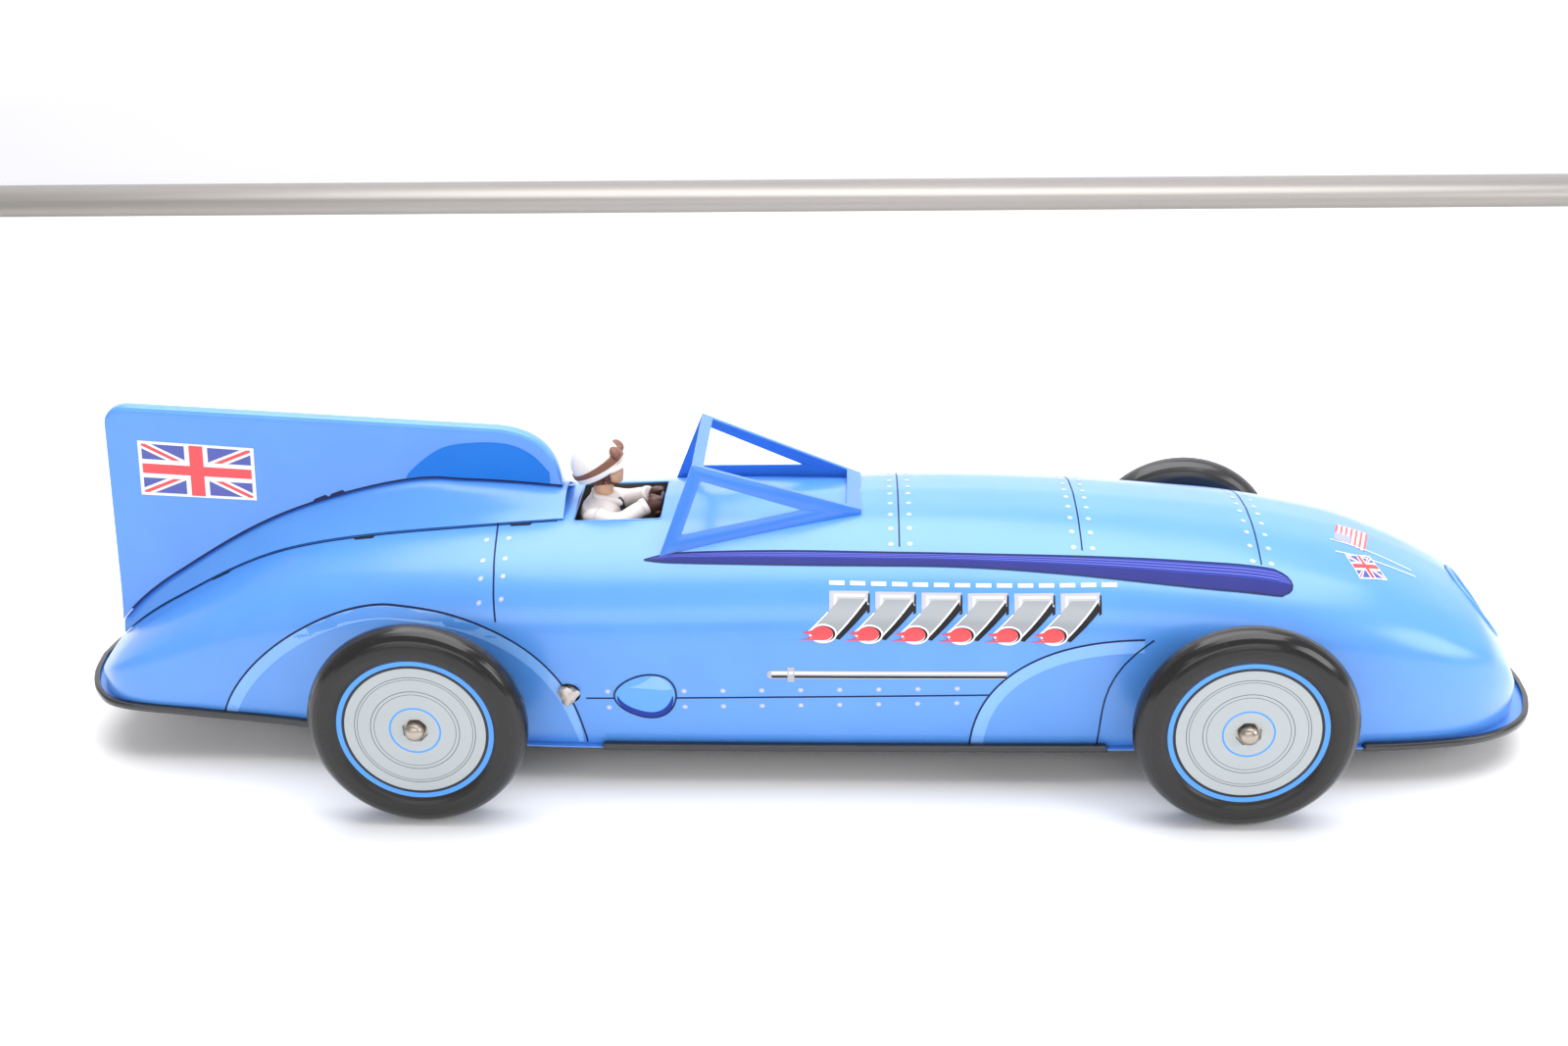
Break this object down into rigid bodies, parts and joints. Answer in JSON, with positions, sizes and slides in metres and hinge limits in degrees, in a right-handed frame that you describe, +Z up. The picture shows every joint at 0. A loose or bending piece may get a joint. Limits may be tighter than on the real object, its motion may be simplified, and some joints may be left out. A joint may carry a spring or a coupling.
{
  "type": "clockwork tin car",
  "caption": "Long streamlined tinplate record car with tail fin, open windscreen frame, driver, disc wheels and a spring motor geared to the rear axle.",
  "frame": {"origin": "on the ground below the middle of the bounding box", "axes": "+X towards the nose, +Y to the car's left, +Z up; wheels stand on Z = 0"},
  "size_m": [0.503, 0.1476, 0.1195],
  "materials": {
    "blue_litho": "glossy printed lacquer",
    "black_lacquer": "glossy black lacquer",
    "intake_grey": "printed grey",
    "olive_lacquer": "satin olive lacquer",
    "white_paint": "hand-painted white, satin",
    "brown_paint": "hand-painted brown",
    "skin_paint": "hand-painted flesh tone, satin",
    "wheel_litho": "printed grey disc with rings, glossy",
    "nickel": "dull nickel plate",
    "zinc_steel": "zinc-plated, satin",
    "gear_brass": "stamped, satin"
  },
  "bodies": {
    "chassis": {"body_shell": "blue_litho", "base_plate": "black_lacquer", "nose_cup": "intake_grey", "tail_deck": "blue_litho", "tail_fin": "blue_litho", "windscreen_frame": "blue_litho", "cockpit_tub": "olive_lacquer", "driver_coat": "white_paint", "driver_glove_left": "brown_paint", "driver_glove_right": "brown_paint", "driver_head": "skin_paint", "driver_helmet": "white_paint", "goggle_strap": "brown_paint", "steering_wheel": "black_lacquer", "front_bracket": "zinc_steel", "rear_bracket": "zinc_steel", "motor_plate_left": "zinc_steel", "motor_plate_right": "zinc_steel", "motor_pillar_1": "zinc_steel", "motor_pillar_2": "zinc_steel", "motor_pillar_3": "zinc_steel", "motor_pillar_4": "zinc_steel", "chassis_rivet_1": "zinc_steel", "chassis_rivet_2": "zinc_steel", "chassis_rivet_3": "zinc_steel", "chassis_rivet_4": "zinc_steel", "chassis_rivet_5": "zinc_steel", "chassis_rivet_6": "zinc_steel", "chassis_rivet_7": "zinc_steel", "chassis_rivet_8": "zinc_steel", "mainspring": "zinc_steel"},
    "front_wheels": {"front_axle": "nickel", "front_left_wheel_face": "wheel_litho", "front_left_wheel_back": "black_lacquer", "front_left_hub_sleeve": "zinc_steel", "front_right_wheel_face": "wheel_litho", "front_right_wheel_back": "black_lacquer", "front_right_hub_sleeve": "zinc_steel"},
    "rear_wheels": {"rear_axle": "nickel", "rear_left_wheel_face": "wheel_litho", "rear_left_wheel_back": "black_lacquer", "rear_left_hub_sleeve": "zinc_steel", "rear_right_wheel_face": "wheel_litho", "rear_right_wheel_back": "black_lacquer", "rear_right_hub_sleeve": "zinc_steel", "axle_pinion": "gear_brass"},
    "mid_gear": {"mid_arbor": "zinc_steel", "mid_wheel": "gear_brass", "mid_pinion": "zinc_steel"},
    "drive_gear": {"great_wheel": "gear_brass"},
    "winder": {"winding_arbor": "nickel", "ratchet_wheel": "zinc_steel"},
    "click": {"click_pawl": "zinc_steel"}
  },
  "joints": [
    {"name": "rear_axle_spin", "type": "hinge", "parent": "chassis", "child": "rear_wheels", "pos_m": [-0.1215, 0, 0.0355], "axis": [0, 1, 0], "continuous": true},
    {"name": "front_axle_spin", "type": "hinge", "parent": "chassis", "child": "front_wheels", "pos_m": [0.1415, 0, 0.0355], "axis": [0, 1, 0], "continuous": true},
    {"name": "mid_arbor_spin", "type": "hinge", "parent": "chassis", "child": "mid_gear", "pos_m": [-0.09958, 0, 0.04246], "axis": [0, 1, 0], "continuous": true},
    {"name": "great_wheel_spin", "type": "hinge", "parent": "chassis", "child": "drive_gear", "pos_m": [-0.0753, 0, 0.0365], "axis": [0, 1, 0], "continuous": true},
    {"name": "winding", "type": "hinge", "parent": "drive_gear", "child": "winder", "pos_m": [-0.0753, 0, 0.0365], "axis": [0, 1, 0], "range_deg": [-1440, 0]},
    {"name": "click_lift", "type": "hinge", "parent": "drive_gear", "child": "click", "pos_m": [-0.06934, 0, 0.04917], "axis": [0, 1, 0], "range_deg": [0, 12], "stiffness_Nm_per_rad": 0.002, "springref_deg": -5.73}
  ],
  "couplings": [
    {"joint": "mid_arbor_spin", "follows": "rear_axle_spin", "ratio": -0.35294},
    {"joint": "great_wheel_spin", "follows": "rear_axle_spin", "ratio": 0.088235}
  ]
}
